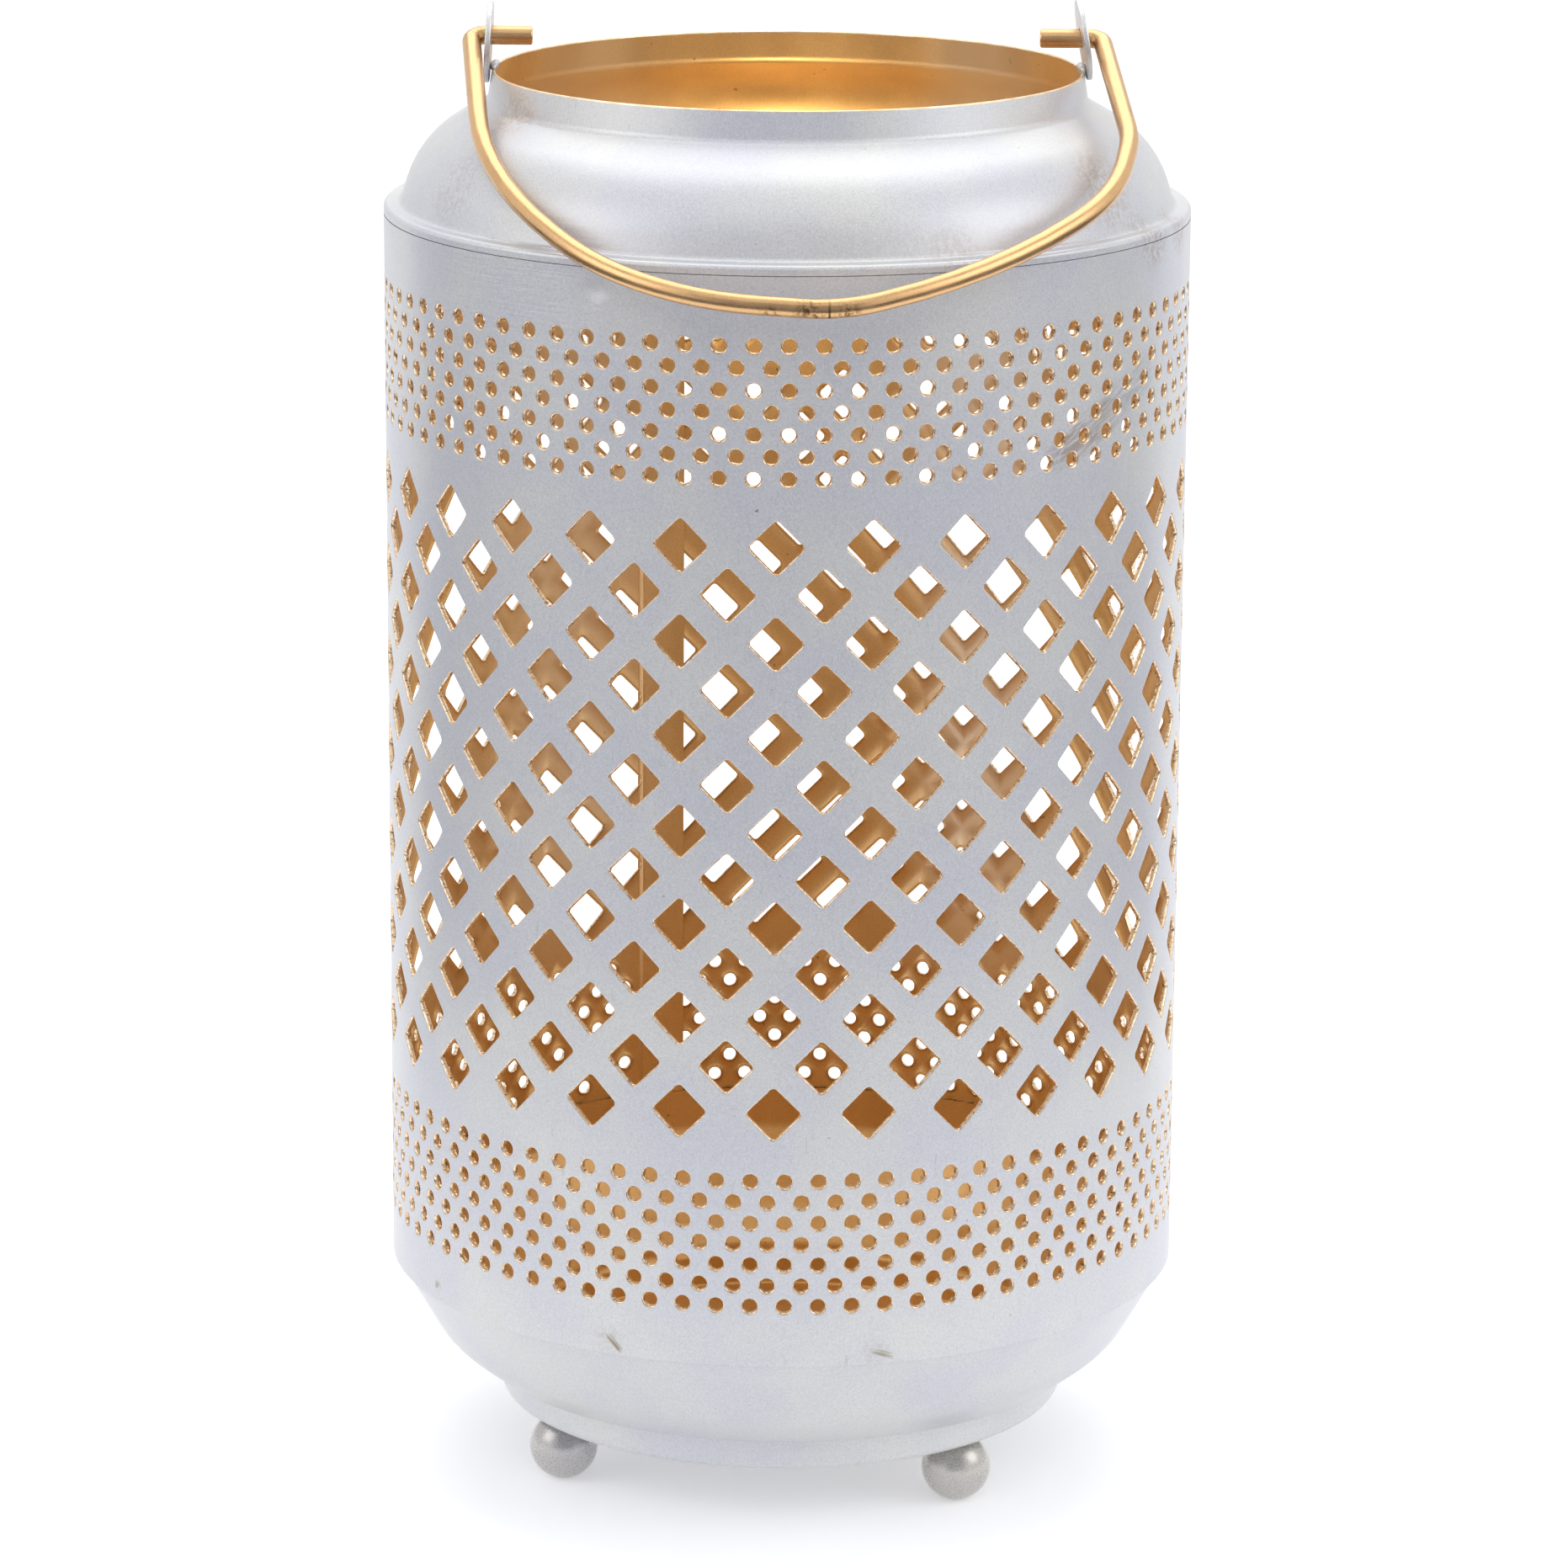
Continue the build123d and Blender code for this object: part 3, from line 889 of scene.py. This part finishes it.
# %% A line with rounded corners
def rounded(corners, bends, step=0.12):
    """Points along a line of corners with a bend radius at each inner one, and the normals
    on its left."""
    points, normals = [], []

    def left(direction):
        return np.array([-direction[1], direction[0]])

    corners = [np.array(c, float) for c in corners]
    start = corners[0]
    for k in range(1, len(corners)):
        end = corners[k]
        direction = (end - corners[k - 1]) / np.linalg.norm(end - corners[k - 1])
        if k < len(corners) - 1:
            onward = (corners[k + 1] - end) / np.linalg.norm(corners[k + 1] - end)
            turn = math.atan2(direction[0] * onward[1] - direction[1] * onward[0], direction @ onward)
            reach = bends[k - 1] * math.tan(abs(turn) / 2)
            end = end - direction * reach
        pieces = max(1, int(np.linalg.norm(end - start) / 3.0))
        for share in range(pieces + 1):
            points.append(start + (end - start) * share / pieces)
            normals.append(left(direction))
        if k < len(corners) - 1:
            hub = end + left(direction) * math.copysign(bends[k - 1], turn)
            arc = max(2, int(abs(turn) / step))
            for part in range(1, arc):
                angle = turn * part / arc
                cos, sin = math.cos(angle), math.sin(angle)
                spin = np.array([[cos, -sin], [sin, cos]])
                points.append(hub + spin @ (end - hub))
                normals.append(spin @ left(direction))
            start = corners[k] + onward * reach
    return np.array(points), np.array(normals)


# %% The same line, one sheet further in
def sheet_inside(corners, bends, amount):
    """Corners and bend radii of the line that lies `amount` to the left."""
    corners = [np.array(c, float) for c in corners]
    ways = [(b - a) / np.linalg.norm(b - a) for a, b in zip(corners, corners[1:])]
    shifts = [np.array([-w[1], w[0]]) * amount for w in ways]
    moved = [corners[0] + shifts[0]]
    new_bends = []
    for k in range(1, len(corners) - 1):
        cross = ways[k - 1][0] * ways[k][1] - ways[k - 1][1] * ways[k][0]
        gap = (corners[k] + shifts[k]) - (corners[k] + shifts[k - 1])
        reach = (gap[0] * ways[k][1] - gap[1] * ways[k][0]) / cross
        moved.append(corners[k] + shifts[k - 1] + ways[k - 1] * reach)
        bend = bends[k - 1]
        new_bends.append(max(0.0, bend - math.copysign(1.0, cross) * amount) if bend else 0.0)
    moved.append(corners[-1] + shifts[-1])
    return moved, new_bends


# %% Turning a profile round the axis
WORN = 2


def turned(name, outline, bends, side, node, around=224, outside=None, outside_bends=None):
    """A spun sheet. Side is 1 where its inside lies to the left of the outline, and -1 where
    it lies to the right."""
    inner, inward = rounded(*sheet_inside(outline, bends, SHEET * side))
    outer, outward = rounded(outside or outline, outside_bends or bends)
    outward, inward = outward * -side, inward * side
    capped = outline[-1][0] <= 1.0
    onward = np.array([-outward[-1][1], outward[-1][0]]) * side
    middle = (outer[-1] + inner[-1]) / 2
    angles = () if capped else (0.5, 1.05, 1.57, 2.1, 2.65)
    lip_out = [outward[-1] * math.cos(a) + onward * math.sin(a) for a in angles]
    lip = [middle + out * SHEET / 2 for out in lip_out]
    loop = [*outer, *lip, *inner[::-1]]
    loop_out = [*outward, *lip_out, *inward[::-1]]
    edge_finishes = [None] if capped else [WORN] * (len(lip) + 1)
    finishes = [PAINT] * (len(outer) - 1) + edge_finishes + [LACQUER] * len(inner)
    count = len(loop)
    points, normals, faces, which = [], [], [], []
    for index in range(around):
        turn = math.tau * index / around
        spin = np.array([math.sin(turn), -math.cos(turn)])
        for (radius, height), (out, up) in zip(loop, loop_out):
            points.append((*(radius * spin), height))
            normals.append((*(out * spin), up))
        here, there = index * count, (index + 1) % around * count
        for k in range(count):
            after = (k + 1) % count
            if finishes[k] is None or np.linalg.norm(loop[k] - loop[after]) < 1e-6:
                continue
            corners = (here + k, there + k, there + after, here + after)
            faces.append(corners if side > 0 else corners[::-1])
            which.append(finishes[k])
    if capped:
        outer_ring = [index * count + len(outer) - 1 for index in range(around)]
        faces += [tuple(outer_ring[::-1]), tuple(k + 1 for k in outer_ring)]
        which += [PAINT, LACQUER]
    made = piece(name, points, faces, [outside_paint, inside_lacquer, worn_edge], which, normals)
    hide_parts(node)


# %% [markdown]
# The rim's edge was cut after painting and then handled for years, so it is bare pale
# metal, warmed by the lacquer that wraps over it, and duller where fingers wore it.

# %% Worn edge
f = Finish("worn_edge")
patch = f.noise(4.0, detail=3.0)
colour = f.mix(f.ramp(patch, 0.4, 0.6), rgb(244, 226, 198), rgb(232, 202, 160))
worn_edge = f.surface(
    {"Base Color": colour, "Metallic": 0.7, "Roughness": f.ramp(patch, 0.3, 0.7, 0.22, 0.42)},
    [(f.noise(0.4), 0.01)],
)

# %% Collar
FLANGE = WALL_RADIUS - SHEET - SLIP
NECK = WALL_RADIUS - 20.2
RIM_TOP = WALL_TOP + 26.3
LIP_BEND = 0.9
COVE_BEND = 1.2
DOME_BEND = 20.0
NECK_BEND = 1.8
collar_bends = (LIP_BEND, COVE_BEND, DOME_BEND, NECK_BEND)
collar_top = [
    (WALL_RADIUS, WALL_TOP + 1.9), (WALL_RADIUS - 3.1, WALL_TOP + 2.0),
    (WALL_RADIUS - 6.5, WALL_TOP + 13.2), (NECK + 0.9, WALL_TOP + 20.6), (NECK, RIM_TOP - SHEET / 2),
]
skirt = [(FLANGE, WALL_TOP - SKIRT_HEIGHT), (FLANGE, WALL_TOP)]
# Outside, a small bevel sets the collar off from the wall.
BEVEL = 0.16
bevel = [(WALL_RADIUS - BEVEL, WALL_TOP), (WALL_RADIUS, WALL_TOP + BEVEL)]
turned(
    "collar", skirt + [(WALL_RADIUS, WALL_TOP)] + collar_top, (0.0, 0.0, *collar_bends), 1,
    "shoulder_collar", outside=skirt + bevel + collar_top, outside_bends=(0.0, 0.0, 0.0, *collar_bends),
)

# %% Base
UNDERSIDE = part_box("foot_1")[1].z / MM
RING = WALL_RADIUS - 20.8
RING_TOP = UNDERSIDE + 7.1
SHOULDER_BEND = 4.0
BOWL_BEND = 14.0
HEEL_BEND = 3.5
RING_BEND = 0.8
BOTTOM_BEND = 1.3
base_bends = (SHOULDER_BEND, BOWL_BEND, HEEL_BEND, RING_BEND, BOTTOM_BEND)
base_outline = [
    (FLANGE, WALL_BOTTOM + FLANGE_HEIGHT), (FLANGE, WALL_BOTTOM),
    (WALL_RADIUS - 9.0, WALL_BOTTOM - 14.7), (RING + 3.8, RING_TOP - 0.3),
    (RING, RING_TOP), (RING, UNDERSIDE), (1.0, UNDERSIDE),
]
turned("base", base_outline, base_bends, -1, "base_bowl")

# %% [markdown]
# ## Solder
#
# Each ear is soldered to the rim. Solder is poured, so it is never even: a small soft lump
# with a few bulges, painted over with the rest. Each lump starts as a round ball of faces,
# is stretched along the rim and pushed in and out by a few smooth waves.

# %% Solder lumps
def lump(name, node, size, seed, lean):
    """A soft lump of solder where the rigid model has its bead."""
    low, high = (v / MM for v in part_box(node))
    centre = (low + high) / 2
    rng = np.random.default_rng(seed)
    waves = [(rng.normal(size=3) * 1.6, rng.uniform(0, math.tau)) for _ in range(5)]
    rows = 20
    around = 28
    points = []
    for row in range(rows + 1):
        tilt = math.pi * row / rows
        for step in range(around):
            turn = math.tau * step / around
            flat = math.sin(tilt)
            way = np.array([flat * math.cos(turn), math.cos(tilt), flat * math.sin(turn)])
            push = 1.0 + 0.09 * sum(math.sin(way @ wave + phase) for wave, phase in waves) / 2
            x, y, z = way * np.array(size) * push
            points.append((centre.x + x + lean * z, centre.y + y, centre.z + z))
    faces = []
    for row in range(rows):
        here = row * around
        below = here + around
        for step in range(around):
            after = (step + 1) % around
            faces.append((here + step, below + step, below + after, here + after))
    made = piece(name, points, faces, [solder_paint])
    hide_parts(node)


def smoother_pearl(name, base, metallic, smoother):
    """The pearl paint of a small part, which is smoother than the wall's."""
    f, colour, rough, bumps = pearl(name, base)
    return f.surface({"Base Color": colour, "Metallic": metallic, "Roughness": rough - smoother}, bumps)


solder_paint = smoother_pearl("solder_paint", (212, 212, 216), 0.55, 0.1)
lump("solder_left", "ear_solder_left", (0.85, 3.0, 1.15), 4, 0.1)
lump("solder_right", "ear_solder_right", (0.85, 3.1, 1.25), 5, -0.2)

# %% [markdown]
# ## Ears, feet and bail
#
# The ears and feet keep the rigid model's own shapes, which are already round and smooth,
# and only get finishes. The balls are bought parts, plated and sprayed silver.

# %% Ears
ear_paint = smoother_pearl("ear_paint", (214, 214, 218), 0.6, 0.06)
for name in ("ear_left", "ear_right"):
    nodes[name].data.materials[0] = ear_paint

# %% Feet
ball_paint = smoother_pearl("silver_ball", (182, 180, 181), 0.65, 0.12)
for number in (1, 2, 3):
    nodes[f"foot_{number}"].data.materials[0] = ball_paint
    nodes[f"foot_solder_{number}"].data.materials[0] = ball_paint

# %% [markdown]
# ## The bail
#
# The bail is brass-plated wire, satin from handling, dark where the pliers gripped it. A
# soft highlight has to run along it without a break, so it is made anew as a fine tube: the
# same bends as the rigid one, with a ring of points at each step and exact normals.

# %% Wire finish
f = Finish("satin_wire")
draw = f.noise(0.35, detail=2.0)
cloud = f.noise(6.0, detail=3.0)
wear = f.ramp(f.noise(0.9, detail=3.0, rough=0.7), 0.46, 0.6)
# Each worn place is a spot in mm, a radius and how strongly it shows.
places = [
    ((4.0, -88.2, 237.0), 2.6, 0.75), ((10.5, -88.0, 237.0), 2.2, 0.7), ((-3.0, -88.3, 237.0), 1.6, 0.6),
    ((-59.5, 0.0, 273.4), 3.0, 0.5), ((63.0, 0.0, 273.4), 3.0, 0.5), ((-59.5, -20.0, 264.0), 2.4, 0.5),
    ((62.8, -26.0, 262.0), 2.4, 0.5), ((30.0, -82.5, 239.5), 1.6, 0.4), ((-34.0, -80.0, 240.5), 1.6, 0.4),
]
worn = sum(f.near(*spot, radius) * share for spot, radius, share in places) * wear
# One fine dark line crosses the wire at the middle of the bow.
TICK = 7.4
tick = f.near(TICK, -88.2, 237.2, 1.9)
tick = tick * f.ramp(abs(f.parts(f.place())[0] - TICK), 0.12, 0.3, 1.0, 0.0)
shade = f.ramp(draw, 0.3, 0.7, 0.95, 1.05) * f.ramp(cloud, 0.3, 0.7, 0.95, 1.04)
colour = f.shaded(rgb(210, 170, 122), shade)
colour = f.mix((worn + tick * 0.85).within(), colour, rgb(74, 50, 28))
satin_wire = f.surface(
    {"Base Color": colour, "Metallic": 1.0, "Roughness": f.ramp(cloud, 0.3, 0.7, 0.25, 0.34)},
    [(draw, 0.008)],
)

# %% The bent wire
WIRE = 1.745
STUB_BEVEL = 0.25
PIVOT = RIM_TOP + 5.9
LYING = math.radians(22.008)
# Corners as (x, distance from the pivot) in the plane of the bail, and the bend at each.
bail_route = [
    (-47.311, 0), (-58.661, 0), (-54.201, 52.468), (-26.3, 91.368), (9.5, 95.468),
    (36.0, 83.168), (58.397, 56.668), (61.797, 36.468), (57.897, 0), (46.547, 0),
]
bail_bends = (2.4, 83.0, 50.0, 24.0, 95.0, 41.0, 28.0, 2.4)


def bent_wire(name, node, sides=24):
    """A round tube along the bail's route, which lies in a plane through the pivot."""
    line, line_left = rounded(bail_route, bail_bends, step=0.07)
    middles = [(spot, left, WIRE, 0) for spot, left in zip(line[1:-1], line_left[1:-1])]
    # Cap is -1 or 1 where a ring also faces along the wire, at its start or its end.
    caps = []
    for index, cap in ((0, -1), (-1, 1)):
        end, left = line[index], line_left[index]
        ahead = np.array([left[1], -left[0]])
        caps.append([(end, left, 0.0, cap), (end, left, WIRE - STUB_BEVEL, cap),
                     (end - cap * ahead * STUB_BEVEL, left, WIRE, 0)])
    sideways = np.array([1.0, 0.0, 0.0])
    out_of_plane = np.array([0.0, math.sin(LYING), -math.cos(LYING)])
    down_plane = np.array([0.0, -math.cos(LYING), -math.sin(LYING)])
    pivot = np.array([0.0, 0.0, PIVOT])
    points, normals, faces = [], [], []
    for spot, left, radius, cap in (*caps[0], *middles, *caps[1][::-1]):
        centre = pivot + spot[0] * sideways + spot[1] * down_plane
        across = left[0] * sideways + left[1] * down_plane
        along = np.cross(across, out_of_plane)
        for side in range(sides):
            turn = math.tau * side / sides
            out = math.cos(turn) * across + math.sin(turn) * out_of_plane
            points.append(centre + radius * out)
            facing = out * (radius > 0.0) + along * cap
            normals.append(facing / np.linalg.norm(facing))
    rings = len(points) // sides
    for ring in range(rings - 1):
        for side in range(sides):
            after = (side + 1) % sides
            here = ring * sides
            faces.append((here + side, here + after, here + sides + after, here + sides + side))
    made = piece(name, points, faces, [satin_wire], None, normals, body="bail")
    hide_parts(node)


bent_wire("bail_wire", "bail_handle")
print("finishes on:", ", ".join(sorted(n for n in nodes if not nodes[n].hide_render)))

# %% How far the dressed lantern's box is from the rigid one
low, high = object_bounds()
gaps = [abs(a - b) / MM for a, b in zip((*cad_low, *cad_high), (*low, *high))]
print("largest difference in mm:", round(max(gaps), 3))
